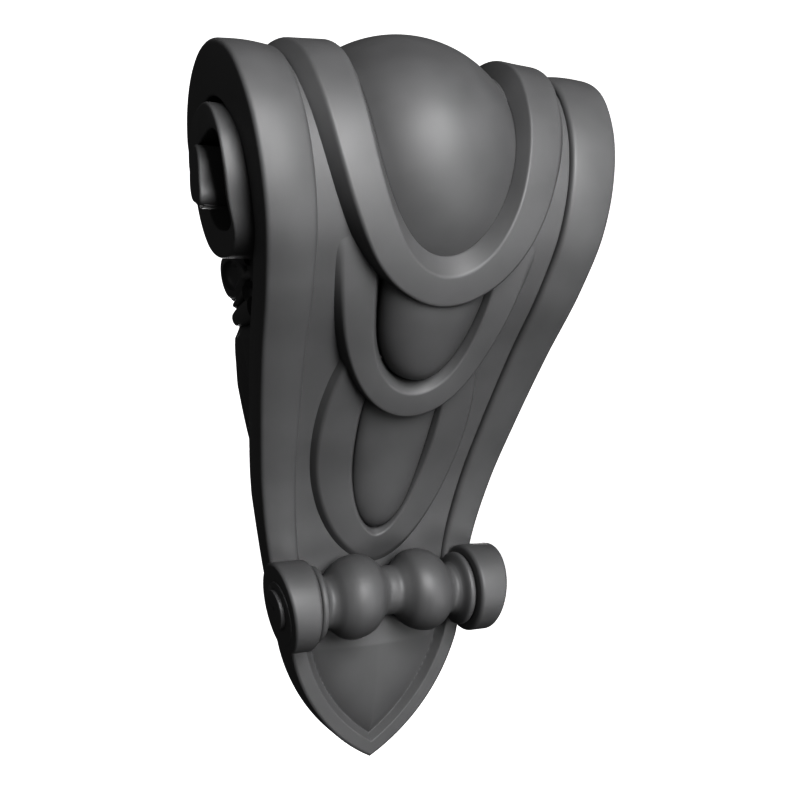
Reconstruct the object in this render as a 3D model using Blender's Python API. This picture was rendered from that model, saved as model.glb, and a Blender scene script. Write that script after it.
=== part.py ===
"""A carved wooden bracket: an S-scroll console with side scrolls, a framed egg, two lower drops, a turned
roll, a pointed pendant and a leaf on each side. Its flat back stands on the wall.

X runs across the front, -Y out of the wall, +Z up. The origin is on the back face.
All the lengths below are millimetres."""
import math

import bmesh
import bpy
import numpy as np

MM = 0.001
NAME = "carved_bracket"
WELD = 1e-6
SIDES = (-1, 1)
# How far behind the wall face shapes run before they are cut, and how far they reach into the body
BACK = 30.0
SINK = 5.0

# Front line of the bed between the rims, as (y, z), from behind the roll up over the top
BED_LINE = [(-15.5, -98.0), (-12.6, -80.0), (-11.5, -60.4), (-19.1, -30.5), (-31.7, -4.8),
            (-48.8, 24.7), (-66.5, 51.3), (-75.9, 71.5), (-78.2, 88.2), (-73.3, 112.6),
            (-61.7, 128.3)]
TOP_CENTRE = (-39.2, 96.0)
TOP_RADIUS = 39.6
TOP_END = 2.0
TOP_BLEND = 34.0
TOP_STEPS = 14
BED_STEPS = 26

# Half widths at a height: the value at a level, its lean and its slight bow, and that level
OUTER_TAPER = (62.9, 0.1667, 1.855e-4, 30.0)
INNER_TAPER = (43.5, 0.1256, 1.06e-4, 15.2)

# The borders: depth of their side, how far it leans in on the way back, height of the crown, how far it
# falls at its shoulders and how wide these are
RIM_DEPTH = 16.5
RIM_LEAN = 2.6
RIM_CREST = 2.9
RIM_FALL = 0.5
RIM_ROUND = 2.4
SIDE_RECESS = 9.5
FIELD_DEPTH = 3.0

# The scroll by quarter turns from the back of its first turn: the turn, its radius, the distance of its
# face from the centre plane and the thickness of its band as a share of the radius
SCROLL_CENTRE = (-39.2, 94.0)
SCROLL_LINE = [(-0.2, 38.6, 74.1, 0.30), (0.0, 38.4, 73.0, 0.30), (0.5, 36.5, 71.8, 0.30), (1.0, 34.0, 72.6, 0.30),
               (1.2, 34.8, 73.2, 0.28), (1.37, 33.6, 74.4, 0.22), (1.6, 28.6, 77.8, 0.13), (1.9, 25.2, 79.9, 0.10),
               (2.25, 23.9, 81.2, 0.12), (2.6, 22.6, 81.4, 0.50), (3.0, 21.4, 80.9, 0.63), (3.5, 21.2, 80.6, 0.62),
               (3.9, 19.4, 80.2, 0.60), (4.2, 17.4, 80.0, 0.58), (4.7, 16.2, 80.2, 0.55), (5.0, 16.4, 81.4, 0.55),
               (5.3, 18.0, 82.6, 0.50)]
SCROLL_STEPS = 34
SCROLL_EDGE = 1.1

# The boss in the middle of the scroll: a plug whose radius swells to a heel at its low front. Reach of the
# heel, where it lies round the boss and its spread, the last two in degrees
EYE_PLACE = (-36.5, 90.5)
EYE_RADIUS = 10.4
EYE_FACE = 84.0
EYE_HEEL = (6.0, 135.0, 24.0)
EYE_EDGE = 1.1
EYE_LEAN = 0.12
EYE_INSIDE = 34.0
EYE_SIDES = 24

# The egg: half its width, half its depth, and its heights above and below its widest level
EGG_PLACE = (-30.5, 97.8)
EGG_HALF = (50.0, 58.3)
EGG_HEIGHTS = (51.4, 58.0)
EGG_SIDES = 28
EGG_STEPS = 19

# Each loop: lowest place along the bed and highest, spread and nose radius of its outside, lowest place,
# spread and nose radius of its inside, width and depth of its inner bevel, and the width of its outer one
# at the nose and at the arms' ends
LOOPS = {
    "upper": {"low": 56.8, "high": 226.0, "outer": (56.0, 32.0), "low_in": 68.0, "inner": (38.5, 20.0),
              "bevel": (5.0, 5.0), "flare": (2.4, 7.4)},
    "middle": {"low": 5.0, "high": 88.0, "outer": (45.0, 22.0), "low_in": 15.8, "inner": (26.5, 15.5),
               "bevel": (3.5, 3.5), "flare": (2.2, 2.6)},
    "lower": {"low": -66.8, "high": 30.0, "outer": (32.5, 62.0), "low_in": -56.2, "inner": (18.1, 54.2),
              "bevel": (3.5, 3.0), "flare": (2.4, 2.4)},
}
LOOP_STEPS = 17
LOOP_EASE = 1.75
LOOP_TILT = 1.0
LOOP_EDGE = 0.4
LOOP_FOOT = 1.6

# Each drop: lowest and highest place along the bed, spread and nose radius, height, how soon it is
# reached, and the loop that covers its upper end
DROPS = {
    "middle": {"low": 19.6, "high": 62.0, "outline": (24.0, 14.0), "height": 12.6, "reach": 7.0, "under": "upper"},
    "lower": {"low": -53.0, "high": 10.0, "outline": (17.5, 7.5), "height": 6.8, "reach": 14.0, "under": "middle"},
}
DROP_STEPS = 14
DROP_ARC = 15
DROP_EASE = 1.8
DROP_FALL = 0.22

# Half of the roll from its middle outwards, as (x, radius)
ROLL_AXIS = (-25.6, -76.2)
ROLL_LINE = [(0.0, 10.1), (3.0, 10.3), (5.0, 11.9), (8.0, 14.9), (11.5, 16.5), (15.3, 17.0), (19.2, 16.4),
             (23.2, 14.0), (26.0, 11.2), (28.2, 10.4), (30.0, 11.4), (31.3, 14.5), (32.8, 15.3), (34.3, 14.6),
             (35.1, 13.8), (35.4, 16.9), (37.0, 18.2), (46.0, 18.2), (47.3, 16.9)]
ROLL_SIDES = 22
ROLL_END = 47.3
ROLL_LEAN = 0.15
ROLL_STRAIGHT = 40.0
# How far the roll's middle bows up, and over what length
ROLL_BOW = (2.6, 19.5)
# The small scroll on a roll's end: its first radius, how fast that shrinks and how fast the face rises with
# each quarter turn, its inside radius and the turns, then radius and height of the boss on it
CURL = (17.8, 1.8, 0.45, 0.6, 3.95)
CURL_STEPS = 14
CURL_BOSS = (9.0, 2.2)
CURL_BOSS_SIDES = 18
CURL_BOSS_EDGE = 0.6

PENDANT_TOP = -72.0
PENDANT_SPRING = -98.5
PENDANT_TIP = -149.9
PENDANT_ARC = 80.0
PENDANT_STEPS = 16
PENDANT_EASE = 1.2
# The pendant's face: its place at the tip and how far it comes out up to the spring, the width of its edge,
# where the bevel starts and ends from the outline and its depth, and the height and reach of the pillow
PENDANT_FACE = (-9.2, 7.0)
PENDANT_EDGE = 1.2
PENDANT_BEVEL = (6.4, 9.4, 3.4)
PENDANT_PILLOW = (4.6, 8.0)
PENDANT_PLACES = (0.8, 0.45)

# The side leaf, as places (y, z) on the side field. Ridges run from root to point, with half width and
# height: the top edge, the front rib and the turned-over tip
RIDGES = [((-44.0, 61.5), (8.0, 61.0), 3.0, 2.6), ((-37.0, 68.0), (-33.0, 33.0), 7.5, 4.0),
          ((-34.0, 43.5), (7.0, 37.0), 4.8, 4.2)]
# The cup, a mound and then the hollow in it: middle, half axes and height
CUP = [((-5.0, 55.0), (17.0, 9.0), 4.2), ((-10.5, 55.3), (8.4, 5.8), -4.0)]
# The sheet of tongues below the tip: middle across, half width, top and depth, how far it flares out to the
# wall and within what distance of it, and middle, half width and height of its arch
SHEET = (-14.0, 24.0, 35.5, 66.0)
SHEET_FLARE = (5.6, 15.0)
SHEET_ARCH = (-20.0, 17.0, 3.2)
# The leaf's levels: its low end, the foot of its head and its top, and the steps up to each
LEAF_LEVELS = (-34.0, 32.0, 66.0)
LEAF_STEPS = (11, 15)
LEAF_ACROSS = 15
LEAF_FRONT = 14.0
LEAF_BEHIND = 1.5


def lay_mesh(name, points, faces):
    """A closed mesh from points in millimetres, its doubles welded and its faces turned out."""
    mesh = bpy.data.meshes.new(name)
    mesh.from_pydata([tuple(float(c) * MM for c in p) for p in points], [], faces)
    shape = bmesh.new()
    shape.from_mesh(mesh)
    bmesh.ops.remove_doubles(shape, verts=shape.verts, dist=WELD)
    bmesh.ops.triangulate(shape, faces=[f for f in shape.faces if len(f.verts) > 4])
    bmesh.ops.recalc_face_normals(shape, faces=shape.faces)
    shape.to_mesh(mesh)
    shape.free()
    return bpy.data.objects.new(name, mesh)


def sweep(name, sections):
    """A closed solid through sections of equal length, with a flat cap at each end."""
    sections = np.asarray(sections, float)
    rows, count = sections.shape[:2]
    faces = []
    for i in range(rows - 1):
        for j in range(count):
            k = (j + 1) % count
            faces.append((i * count + j, i * count + k, (i + 1) * count + k, (i + 1) * count + j))
    faces.append(tuple(range(count)))
    faces.append(tuple(range((rows - 1) * count, rows * count)))
    return lay_mesh(name, sections.reshape(-1, 3), faces)


def taper(shape, z):
    """Half width at height z: a straight lean less a slight square bow."""
    middle, lean, bow, level = shape
    return middle + lean * (z - level) - bow * (z - level) ** 2


def spline(knots, steps):
    """Points at equal chord steps on a smooth curve through the knots."""
    knots = np.asarray(knots, float)
    chord = np.concatenate([[0.0], np.cumsum(np.hypot(*np.diff(knots, axis=0).T))])
    slope = np.gradient(knots, chord, axis=0)
    where = np.linspace(0.0, chord[-1], steps)
    out = []
    for t in where:
        i = min(np.searchsorted(chord, t, side="right") - 1, len(knots) - 2)
        gap = chord[i + 1] - chord[i]
        u = (t - chord[i]) / gap
        out.append((2 * u ** 3 - 3 * u ** 2 + 1) * knots[i] + (u ** 3 - 2 * u ** 2 + u) * gap * slope[i]
                   + (3 * u ** 2 - 2 * u ** 3) * knots[i + 1] + (u ** 3 - u ** 2) * gap * slope[i + 1])
    return np.array(out)


def bed_line():
    """The bed's front line, run on round the top of the scroll to behind the wall face."""
    front = spline(BED_LINE, BED_STEPS)
    start = math.atan2(front[-1][1] - TOP_CENTRE[1], front[-1][0] - TOP_CENTRE[0])
    first = math.dist(front[-1], TOP_CENTRE)
    turns = np.linspace(start, math.radians(TOP_END), TOP_STEPS + 1)[1:]
    grow = np.clip((start - turns) / math.radians(TOP_BLEND), 0.0, 1.0)
    radius = first + (TOP_RADIUS - first) * grow
    over = np.stack([TOP_CENTRE[0] + radius * np.cos(turns), TOP_CENTRE[1] + radius * np.sin(turns)], 1)
    return np.concatenate([front, over])


BED = bed_line()
BED_RUN = np.concatenate([[0.0], np.cumsum(np.hypot(*np.diff(BED, axis=0).T))])
BED_RUN -= np.interp(0.0, BED[:BED_STEPS, 1], BED_RUN[:BED_STEPS])
BED_ALONG = np.gradient(BED, BED_RUN, axis=0)
BED_ALONG /= np.hypot(*BED_ALONG.T)[:, None]


def on_bed(x, run, height):
    """The point at x across, at a run along the bed line and a height above it."""
    y, z = (np.interp(run, BED_RUN, BED[:, i]) for i in (0, 1))
    along_y, along_z = (np.interp(run, BED_RUN, BED_ALONG[:, i]) for i in (0, 1))
    length = math.hypot(along_y, along_z)
    return (x, y - height * along_z / length, z + height * along_y / length)


def side_floor(z):
    """Where the recessed side field lies, measured from the centre plane."""
    return taper(OUTER_TAPER, z) - SIDE_RECESS


def core():
    """The body behind the bed: the bed line closed by the wall, as wide as the side fields."""
    low_end, high_end = BED[0], BED[-1]
    outline = [(BACK, low_end[1])] + [tuple(p) for p in BED] + [(BACK, high_end[1])]
    return sweep("core", [[(side * side_floor(z), y, z) for y, z in outline] for side in SIDES])


def rim(side):
    """The raised border of one side: a crowned band carried up the bed line and over the top. Its side
    leans in a little on the way back."""
    sections = []
    for run in BED_RUN:
        level = on_bed(0.0, run, 0.0)[2]
        inner, outer = taper(INNER_TAPER, level), taper(OUTER_TAPER, level)
        shape = [(inner, -SINK), (inner, RIM_CREST - RIM_ROUND), (inner + RIM_ROUND, RIM_CREST - RIM_FALL),
                 ((inner + outer) / 2, RIM_CREST), (outer - RIM_ROUND, RIM_CREST - RIM_FALL),
                 (outer, RIM_CREST - RIM_ROUND), (outer - RIM_LEAN, -RIM_DEPTH),
                 (side_floor(level) - FIELD_DEPTH, -RIM_DEPTH)]
        sections.append([on_bed(side * x, run, height) for x, height in shape])
    return sweep("rim", sections)


def scroll(side):
    """The side scroll: a flat band on a shrinking spiral that steps outwards turn by turn."""
    line = np.array(SCROLL_LINE)
    sections = []
    for turn in np.linspace(line[0, 0], line[-1, 0], SCROLL_STEPS):
        radius, face, share = (np.interp(turn, line[:, 0], line[:, i]) for i in (1, 2, 3))
        inner = radius * (1 - share)
        angle = -turn * math.pi / 2
        floor = side_floor(SCROLL_CENTRE[1] + radius * math.sin(angle)) - FIELD_DEPTH
        shape = [(floor, radius), (face - SCROLL_EDGE, radius), (face, radius - SCROLL_EDGE),
                 (face, inner + SCROLL_EDGE), (face - SCROLL_EDGE, inner), (floor, inner)]
        sections.append([(side * x, SCROLL_CENTRE[0] + r * math.cos(angle), SCROLL_CENTRE[1] + r * math.sin(angle))
                         for x, r in shape])
    return sweep("scroll", sections)


def eye(side):
    """The boss at the middle of the scroll: a round plug with a heel at its low front and a face that
    leans to the wall."""
    reach, place, spread = EYE_HEEL
    sections = []
    for inset, down in ((0.0, EYE_INSIDE), (0.0, EYE_EDGE), (EYE_EDGE, 0.0)):
        ring = []
        for i in range(EYE_SIDES):
            angle = i * math.tau / EYE_SIDES - math.pi
            heel = reach * math.exp(-((math.degrees(angle) + place) / spread) ** 2)
            radius = EYE_RADIUS + heel - inset
            y = radius * math.cos(angle)
            x = EYE_FACE - EYE_LEAN * (y + EYE_RADIUS) - down
            ring.append((side * x, EYE_PLACE[0] + y, EYE_PLACE[1] + radius * math.sin(angle)))
        sections.append(ring)
    return sweep("eye", sections)


def egg():
    """The egg: level rings of an ellipsoid that is longer below its widest level than above."""
    high, low = EGG_HEIGHTS
    sections = []
    for up in np.linspace(-math.pi / 2, math.pi / 2, EGG_STEPS):
        z = EGG_PLACE[1] + (high if up > 0 else low) * math.sin(up)
        ring = []
        for i in range(EGG_SIDES):
            angle = i * math.tau / EGG_SIDES
            ring.append((EGG_HALF[0] * math.cos(up) * math.sin(angle),
                         EGG_PLACE[0] - EGG_HALF[1] * math.cos(up) * math.cos(angle), z))
        sections.append(ring)
    return sweep("egg", sections)


def swell(spread, nose, rise):
    """Half width of a U at a rise above its lowest place: round at the nose, then nearly straight."""
    rise = max(rise, 0.0)
    return spread * math.sqrt(1.0 - math.exp(-2.0 * nose * rise / spread ** 2))


def oval(half_width, length, rise):
    """Half width of a pointed oval at a rise above its lowest place."""
    reach = 1.0 - ((length - rise) / length) ** 2
    return half_width * max(reach, 0.0) ** 0.56


def upper_height(run):
    """The upper loop falls away from its nose as an exponential and rises a little again over the top."""
    return 3.2 + 9.0 * math.exp(-(run - 56.8) / 34.0) + 1.8 * min(max((run - 105.0) / 35.0, 0.0), 1.0)


def middle_height(run):
    """The middle loop falls in a straight line from its nose."""
    return max(10.4 - 0.145 * (run - 5.0), -2.0)


def lower_height(run):
    """The lower loop rises a little from its point and is then even."""
    return 3.0 - 2.0 * math.exp(-(run + 66.8) / 8.0)


HEIGHTS = {"upper": upper_height, "middle": middle_height, "lower": lower_height}


def loop(name):
    """A U-shaped band laid on the bed: it hangs from its arms and its nose stands proud. Its outside
    slopes out to its foot and its inside has a bevel."""
    plan = LOOPS[name]
    shape_of = oval if name == "lower" else swell
    height_of = HEIGHTS[name]
    length = plan["high"] - plan["low"]
    length_in = plan["high"] - plan["low_in"]
    half = []
    for i in range(LOOP_STEPS):
        part = (i / (LOOP_STEPS - 1)) ** LOOP_EASE
        rise, rise_in = part * length, part * length_in
        outer = (shape_of(*plan["outer"], rise), plan["low"] + rise)
        inner = (shape_of(*plan["inner"], rise_in), plan["low_in"] + rise_in)
        flare = plan["flare"][0] + (plan["flare"][1] - plan["flare"][0]) * part
        half.append((outer, inner, flare))
    wide, deep = plan["bevel"]
    sections = []
    for side, stations in ((-1, half[:0:-1]), (1, half)):
        for (outer_x, outer_run), (inner_x, inner_run), flare in stations:
            gap = math.hypot(outer_x - inner_x, outer_run - inner_run)
            step_x, step_run = (inner_x - outer_x) / gap, (inner_run - outer_run) / gap
            low, high = height_of(outer_run), height_of(inner_run) + LOOP_TILT
            foot = flare * (1.0 + LOOP_FOOT / max(low, 1.0))
            shape = [(-foot, -SINK), (-foot, -LOOP_FOOT), (LOOP_EDGE, low), (gap, high),
                     (gap + wide, high - deep - LOOP_TILT), (gap + wide, -SINK)]
            sections.append([on_bed(side * (outer_x + step_x * t), outer_run + step_run * t, h)
                             for t, h in shape])
    return sweep(name + "_loop", sections)


def loop_rise(name, x):
    """How far up a loop's outer line is, above its lowest place, at x across."""
    spread, nose = LOOPS[name]["outer"]
    return -math.log(1.0 - min(x / spread, 0.95) ** 2) * spread ** 2 / (2.0 * nose)


def drop(name):
    """A rounded drop on the bed: it swells from its low end and runs on under the loop above it."""
    plan = DROPS[name]
    length = plan["high"] - plan["low"]
    sections = []
    for part in np.linspace(0.08, 1.0, DROP_STEPS) ** DROP_EASE:
        rise = part * length
        half = swell(*plan["outline"], rise)
        crown = plan["height"] * math.sqrt(1.0 - math.exp(-2.0 * rise / plan["reach"]))
        crown *= 1.0 - DROP_FALL * part ** 2
        shape = [(half, -SINK)]
        for angle in np.linspace(0.0, math.pi, DROP_ARC):
            shape.append((half * math.cos(angle), crown * math.sin(angle) ** 0.8))
        shape.append((-half, -SINK))
        sections.append([on_bed(x, plan["low"] + rise + part ** 3 * loop_rise(plan["under"], abs(x)), height)
                         for x, height in shape])
    return sweep(name + "_drop", sections)


def roll():
    """The turned roll across the front, its middle bowed up and its ends cut to the lean of the sides."""
    line = [(-x, r) for x, r in ROLL_LINE[:0:-1]] + ROLL_LINE
    bow, reach = ROLL_BOW
    sections = []
    for x, radius in line:
        ring = []
        part = max(0.0, (abs(x) - ROLL_STRAIGHT) / (ROLL_END - ROLL_STRAIGHT))
        for i in range(ROLL_SIDES):
            angle = i * math.tau / ROLL_SIDES
            lift = radius * math.sin(angle)
            ring.append((x + math.copysign(ROLL_LEAN * lift * part, x), ROLL_AXIS[0] + radius * math.cos(angle),
                         ROLL_AXIS[1] + lift + bow * math.exp(-(x / reach) ** 2)))
        sections.append(ring)
    return sweep("roll", sections)


def on_roll_end(side, x, radius, angle):
    """A point on the leaning end of the roll."""
    lift = radius * math.sin(angle)
    return (side * (x + ROLL_LEAN * lift), ROLL_AXIS[0] + radius * math.cos(angle), ROLL_AXIS[1] + lift)


def roll_curl(side):
    """The small scroll on the roll's end: a step that winds in once while it rises."""
    first, shrink, climb, inner, last = CURL
    sections = []
    for turn in np.linspace(0.0, last, CURL_STEPS):
        radius, face = first - shrink * turn, ROLL_END + climb * turn - 0.2
        shape = [(ROLL_END - SINK, radius), (face, radius), (face, inner), (ROLL_END - SINK, inner)]
        sections.append([on_roll_end(side, x, r, -turn * math.pi / 2) for x, r in shape])
    return sweep("roll_curl", sections)


def roll_boss(side):
    """The round boss in the middle of the small scroll."""
    radius, height = CURL_BOSS
    face = ROLL_END + height
    sections = []
    for x, r in ((ROLL_END - SINK, radius), (face - CURL_BOSS_EDGE, radius), (face, radius - CURL_BOSS_EDGE)):
        sections.append([on_roll_end(side, x, r, i * math.tau / CURL_BOSS_SIDES) for i in range(CURL_BOSS_SIDES)])
    return sweep("roll_boss", sections)


def pendant_half(z):
    """Half width of the pendant: the body's taper, then one arc to the tip."""
    if z >= PENDANT_SPRING:
        return taper(OUTER_TAPER, z)
    start = taper(OUTER_TAPER, PENDANT_SPRING)
    height = PENDANT_SPRING - PENDANT_TIP
    chord = math.hypot(start, height)
    reach = math.sqrt(PENDANT_ARC ** 2 - (chord / 2) ** 2)
    centre_x = start / 2 - reach * height / chord
    centre_z = (PENDANT_SPRING + PENDANT_TIP) / 2 + reach * start / chord
    return max(centre_x + math.sqrt(PENDANT_ARC ** 2 - (z - centre_z) ** 2), 0.0)


def pendant_carving(inward):
    """How far the pendant's face lies behind its border at a distance in from the outline: a bevel down,
    then a pillow that comes out again towards the middle."""
    start, end, deep = PENDANT_BEVEL
    high, reach = PENDANT_PILLOW
    pillow = high * (1.0 - math.exp(-max(inward - end, 0.0) / reach))
    return deep * min(max((inward - start) / (end - start), 0.0), 1.0) - pillow


def pendant():
    """The pointed end below the roll: a border with an inner bevel round a pillowed field."""
    drop_to_tip = PENDANT_TOP - PENDANT_TIP
    start, end, _ = PENDANT_BEVEL
    sections = []
    for i in range(PENDANT_STEPS):
        z = PENDANT_TIP + drop_to_tip * (i / (PENDANT_STEPS - 1)) ** PENDANT_EASE
        outer = pendant_half(z)
        slope = pendant_half(z + 0.5) - pendant_half(z - 0.5)
        square = 1.0 / math.sqrt(1.0 + slope ** 2)
        front = PENDANT_FACE[0] - PENDANT_FACE[1] * min((z - PENDANT_TIP) / (PENDANT_SPRING - PENDANT_TIP), 1.0)
        border, bed = max(outer - start / square, 0.0), max(outer - end / square, 0.0)
        places = [max(outer - PENDANT_EDGE, border), border, bed] + [bed * part for part in PENDANT_PLACES]
        row = [(outer, BACK), (outer, front + PENDANT_EDGE)]
        row += [(x, front + pendant_carving((outer - x) * square)) for x in places]
        sections.append([(-x, y, z) for x, y in row] + [(0.0, front + pendant_carving(outer * square), z)]
                        + [(x, y, z) for x, y in row[::-1]])
    return sweep("pendant", sections)


def mound(y, z, centre, axes):
    """A rounded swelling on a flat field: one in its middle, down to zero on its oval edge."""
    far = ((y - centre[0]) / axes[0]) ** 2 + ((z - centre[1]) / axes[1]) ** 2
    return math.sqrt(max(1.0 - far, 0.0))


def ridge(y, z, root, point, half, stand):
    """One ridge of the leaf: it falls off from its middle line as a half ellipse and narrows to its point."""
    size = math.dist(root, point)
    axis = ((point[0] - root[0]) / size, (point[1] - root[1]) / size)
    along = ((y - root[0]) * axis[0] + (z - root[1]) * axis[1]) / size
    across = (y - root[0]) * axis[1] - (z - root[1]) * axis[0]
    if not -0.2 < along < 1.0:
        return 0.0
    width = half * math.sqrt(1.0 - max(along, 0.0) ** 2.4)
    inside = math.sqrt(max(1.0 - (across / width) ** 2, 0.0))
    return stand * inside ** 0.7 * min(max(along * 6.0 + 1.2, 0.0), 1.0)


def leaf_sheet(y, z):
    """The sheet of tongues: it arches behind the border and flares out towards the wall, inside a long
    rounded outline."""
    middle, half, top, depth = SHEET
    fall = max(top - z, 0.0)
    inside = max(1.0 - (abs(y - middle) / half) ** 2.2 - (fall / depth) ** 3.0, 0.0) ** 0.25
    reach, near = SHEET_FLARE
    flare = reach * math.sqrt(min(fall / 24.0, 1.0)) * min(max((y + near) / near, 0.0), 1.0) ** 1.3
    arch = SHEET_ARCH[2] * math.sqrt(max(1.0 - ((y - SHEET_ARCH[0]) / SHEET_ARCH[1]) ** 2, 0.0))
    return (flare + arch) * inside * min(fall / 5.0, 1.0) ** 0.7


def leaf_relief(y, z):
    """Height of the carved leaf over the side field: the highest of the ridges, the sheet and the
    hollowed cup."""
    cup = sum(stand * mound(y, z, centre, axes) ** 0.6 for centre, axes, stand in CUP)
    return max([ridge(y, z, *shape) for shape in RIDGES] + [leaf_sheet(y, z), cup, 0.0])


def leaf(side):
    """The carved leaf under the scroll: level sections of its relief, from behind the border to the wall,
    with a back inside the body."""
    low, foot, high = LEAF_LEVELS
    sections = []
    for z in [*np.linspace(low, foot, LEAF_STEPS[0]), *np.linspace(foot, high, LEAF_STEPS[1])[1:]]:
        front = np.interp(z, BED[:BED_STEPS, 1], BED[:BED_STEPS, 0]) + LEAF_FRONT
        floor = side_floor(z)
        places = np.linspace(front, LEAF_BEHIND, LEAF_ACROSS)
        row = [(floor + leaf_relief(y, z) - 0.25, y) for y in places]
        row += [(floor - FIELD_DEPTH, LEAF_BEHIND), (floor - FIELD_DEPTH, front)]
        sections.append([(side * x, y, z) for x, y in row])
    return sweep("leaf", sections)


def keep_outer_skin(shape):
    """Drops the closed pockets that overlapping shapes leave inside the body."""
    unseen = set(shape.faces)
    skins = []
    while unseen:
        skin, edge_of_search = set(), [unseen.pop()]
        while edge_of_search:
            face = edge_of_search.pop()
            skin.add(face)
            for edge in face.edges:
                for neighbour in edge.link_faces:
                    if neighbour in unseen:
                        unseen.remove(neighbour)
                        edge_of_search.append(neighbour)
        skins.append(skin)
    skins.sort(key=len)
    inner = [face for skin in skins[:-1] for face in skin]
    bmesh.ops.delete(shape, geom=inner, context="FACES")


def cut_at_wall(shape):
    """Takes away what is behind the wall face and closes the cut with one flat face."""
    every = shape.verts[:] + shape.edges[:] + shape.faces[:]
    bmesh.ops.bisect_plane(shape, geom=every, dist=WELD, plane_co=(0.0, 0.0, 0.0), plane_no=(0.0, 1.0, 0.0),
                           clear_outer=True)
    rim_edges = [edge for edge in shape.edges if edge.is_boundary]
    bmesh.ops.contextual_create(shape, geom=rim_edges)
    bmesh.ops.triangulate(shape, faces=[face for face in shape.faces if len(face.verts) > 3])


def collection_named(name):
    group = bpy.data.collections.new(name)
    bpy.context.scene.collection.children.link(group)
    return group


def put_away(piece, group):
    """A tool shape: kept in its own collection and out of the render."""
    for holder in list(piece.users_collection):
        holder.objects.unlink(piece)
    group.objects.link(piece)
    piece.hide_render = True
    piece.display_type = "WIRE"


def painted_wood():
    """Dark neutral grey satin paint on carved wood."""
    paint = bpy.data.materials.new("dark_paint")
    paint.use_nodes = True
    shader = paint.node_tree.nodes["Principled BSDF"]
    shader.inputs["Base Color"].default_value = (0.09, 0.09, 0.09, 1.0)
    shader.inputs["Roughness"].default_value = 0.6
    shader.inputs["Metallic"].default_value = 0.0
    return paint


def main():
    for old in list(bpy.data.objects):
        bpy.data.objects.remove(old, do_unlink=True)
    finished = collection_named(NAME)
    joined = collection_named("joined_shapes")

    pieces = [loop(name) for name in LOOPS] + [egg()] + [drop(name) for name in DROPS] + [roll(), pendant()]
    for side in SIDES:
        pieces += [rim(side), scroll(side), eye(side), leaf(side), roll_curl(side), roll_boss(side)]
    for piece in pieces:
        put_away(piece, joined)

    bracket = core()
    finished.objects.link(bracket)
    join = bracket.modifiers.new("join", "BOOLEAN")
    join.operation = "UNION"
    join.solver = "EXACT"
    join.operand_type = "COLLECTION"
    join.collection = joined

    whole = bpy.data.meshes.new_from_object(bracket.evaluated_get(bpy.context.evaluated_depsgraph_get()))
    shape = bmesh.new()
    shape.from_mesh(whole)
    keep_outer_skin(shape)
    cut_at_wall(shape)
    shape.to_mesh(whole)
    shape.free()
    bracket.modifiers.clear()
    bracket.data = whole
    bracket.name = whole.name = NAME
    whole.materials.clear()
    whole.materials.append(painted_wood())
    whole.shade_smooth()
    whole.set_sharp_from_angle(angle=math.radians(25.0))


main()
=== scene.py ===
"""A carved wooden bracket in dark satin paint, dressed over its plain solid.

X runs across the front, -Y out of the wall and +Z up, with the origin on the wall face.
The surfaces are worked out in millimetres and laid into the meshes in metres."""

import math

import bmesh
import bpy
import numpy as np
from bpy.props import FloatProperty, FloatVectorProperty, PointerProperty
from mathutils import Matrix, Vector


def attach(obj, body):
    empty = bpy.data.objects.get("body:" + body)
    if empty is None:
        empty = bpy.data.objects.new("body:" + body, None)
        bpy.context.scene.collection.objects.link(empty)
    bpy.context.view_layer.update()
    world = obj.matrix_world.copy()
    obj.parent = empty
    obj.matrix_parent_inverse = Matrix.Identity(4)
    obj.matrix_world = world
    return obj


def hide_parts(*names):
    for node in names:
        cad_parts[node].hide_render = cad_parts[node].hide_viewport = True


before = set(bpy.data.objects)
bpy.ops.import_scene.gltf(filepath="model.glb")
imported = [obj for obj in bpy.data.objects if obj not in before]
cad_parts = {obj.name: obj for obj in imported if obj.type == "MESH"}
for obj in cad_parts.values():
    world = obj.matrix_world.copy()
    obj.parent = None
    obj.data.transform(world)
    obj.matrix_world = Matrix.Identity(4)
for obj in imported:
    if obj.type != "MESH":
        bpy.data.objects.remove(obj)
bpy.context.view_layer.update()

bl_info = {
    "name": "Carved scroll bracket",
    "version": (1, 0, 0),
    "blender": (4, 5, 0),
    "location": "3D View > Sidebar > Bracket",
    "description": "Builds a carved console bracket with scrolls, an egg, drops and a pendant",
    "category": "Add Mesh",
}

MM = 0.001
NODE = "carved_bracket"
WELD = 1e-6
SIDES = (-1, 1)
# Edges that turn by more than this stay sharp
SHARP_ANGLE = math.radians(40.0)
# A piece that reaches further than this behind the wall face is cut
WALL_TOUCH = 0.01
# How far short of the wall face each kind of piece ends, so that no two cuts lie in one plane
WALL_GAPS = {"pendant": 0.05, "egg": 0.10, "border": 0.15, "scroll": 0.20, "leaf": 0.25, "loop": 0.30}

# Front line of the bed between the rims, as (y, z), from behind the roll up over the top
BED_LINE = [(-14.2, -91.5), (-12.6, -80.0), (-11.5, -60.4), (-19.1, -30.5), (-31.7, -4.8),
            (-48.8, 24.7), (-66.5, 51.3), (-75.9, 71.5), (-78.2, 88.2), (-73.3, 112.6),
            (-61.7, 128.3)]
TOP_ANGLES = (100.0, 78.0, 56.0, 34.0, 12.0, -8.0)
BED_STEPS = 330

# Half widths at a height: the value at a level, its lean and its slight bow, and that level
OUTER_TAPER = (62.9, 0.1667, 1.855e-4, 30.0)
INNER_TAPER = (43.5, 0.1256, 1.06e-4, 15.2)


def length(label, about, size):
    """A length that a user can change, given here in millimetres."""
    return FloatProperty(name=label, description=about, default=size * MM, unit="LENGTH", subtype="DISTANCE")


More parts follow.
